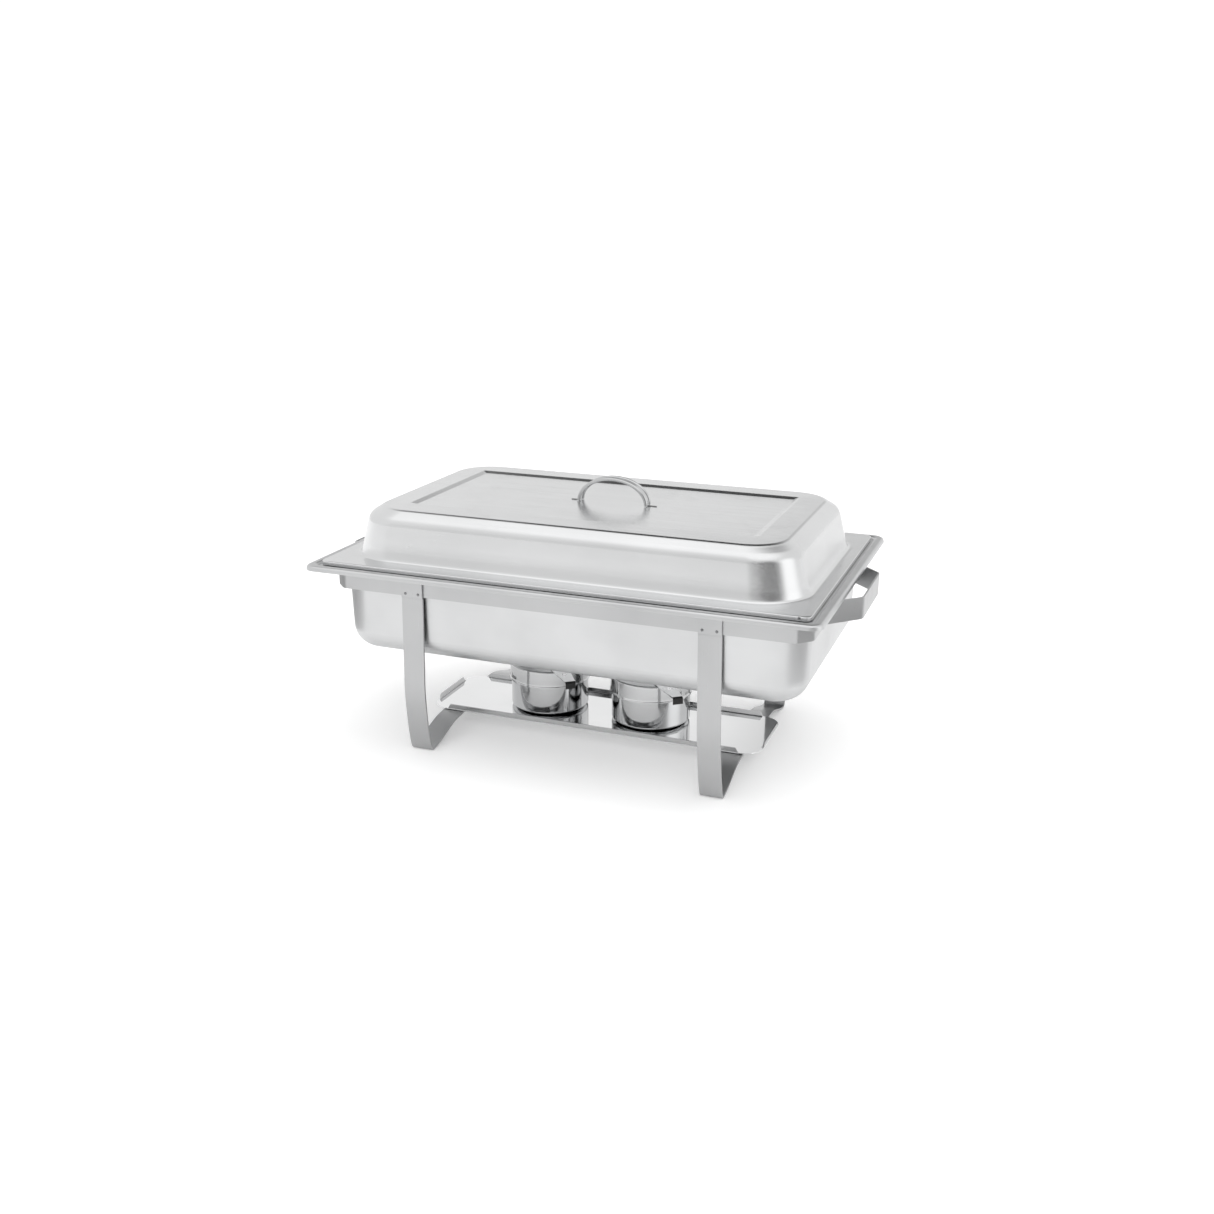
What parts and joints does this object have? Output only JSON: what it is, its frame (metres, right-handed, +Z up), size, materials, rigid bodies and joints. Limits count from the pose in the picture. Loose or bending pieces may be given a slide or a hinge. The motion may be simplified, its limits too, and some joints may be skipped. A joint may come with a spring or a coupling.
{
  "type": "chafing dish",
  "caption": "Stainless steel chafing dish: strap-leg stand with side handles, water pan, food pan, domed lid with arched handle, and lidded fuel burners on a tray shelf",
  "frame": {"origin": "on the table, below the middle of the stand", "axes": "+X along the long side towards the right handle, +Y from the front to the rear, +Z up"},
  "size_m": [0.5986, 0.3662, 0.3006],
  "materials": {
    "satin_steel": "fine satin, soft blurred reflections",
    "strip_steel": "satin rolled strip, slightly darker",
    "polished_steel": "bright polish, sharp reflections",
    "rivet_steel": "dull"
  },
  "bodies": {
    "frame": {"frame_band": "strip_steel", "leg_strip_left": "strip_steel", "leg_strip_right": "strip_steel", "leg_rivet_left_front_a": "rivet_steel", "leg_rivet_left_front_b": "rivet_steel", "leg_rivet_left_rear_a": "rivet_steel", "leg_rivet_left_rear_b": "rivet_steel", "leg_rivet_right_front_a": "rivet_steel", "leg_rivet_right_front_b": "rivet_steel", "leg_rivet_right_rear_a": "rivet_steel", "leg_rivet_right_rear_b": "rivet_steel", "burner_shelf": "polished_steel", "shelf_rivet_left_front": "rivet_steel", "shelf_rivet_left_rear": "rivet_steel", "shelf_rivet_right_front": "rivet_steel", "shelf_rivet_right_rear": "rivet_steel"},
    "water_pan": {"water_pan": "satin_steel"},
    "food_pan": {"food_pan": "satin_steel"},
    "lid": {"lid_shell": "satin_steel", "lid_handle": "polished_steel"},
    "burner_left": {"burner_cup_left": "polished_steel"},
    "cap_left": {"burner_cap_left": "polished_steel", "damper_rivet_left": "rivet_steel"},
    "damper_left": {"burner_damper_left": "polished_steel"},
    "burner_right": {"burner_cup_right": "polished_steel"},
    "cap_right": {"burner_cap_right": "polished_steel", "damper_rivet_right": "rivet_steel"},
    "damper_right": {"burner_damper_right": "polished_steel"}
  },
  "joints": [
    {"name": "water_pan_lift", "type": "slide", "parent": "frame", "child": "water_pan", "axis": [0, 0, 1], "range_m": [0, 0.12]},
    {"name": "food_pan_lift", "type": "slide", "parent": "water_pan", "child": "food_pan", "axis": [0, 0, 1], "range_m": [0, 0.09]},
    {"name": "lid_lift", "type": "slide", "parent": "food_pan", "child": "lid", "axis": [0, 0, 1], "range_m": [0, 0.15]},
    {"name": "burner_left_slide", "type": "slide", "parent": "frame", "child": "burner_left", "axis": [1, 0, 0], "range_m": [-0.05, 0.008]},
    {"name": "cap_left_lift", "type": "slide", "parent": "burner_left", "child": "cap_left", "axis": [0, 0, 1], "range_m": [0, 0.028]},
    {"name": "damper_left_swing", "type": "hinge", "parent": "cap_left", "child": "damper_left", "pos_m": [-0.04787, -0.02888, 0.0763], "axis": [0, 0, 1], "range_deg": [-75, 0]},
    {"name": "burner_right_slide", "type": "slide", "parent": "frame", "child": "burner_right", "axis": [1, 0, 0], "range_m": [-0.008, 0.06]},
    {"name": "cap_right_lift", "type": "slide", "parent": "burner_right", "child": "cap_right", "axis": [0, 0, 1], "range_m": [0, 0.028]},
    {"name": "damper_right_swing", "type": "hinge", "parent": "cap_right", "child": "damper_right", "pos_m": [0.07833, -0.02888, 0.0763], "axis": [0, 0, 1], "range_deg": [-75, 0]}
  ]
}
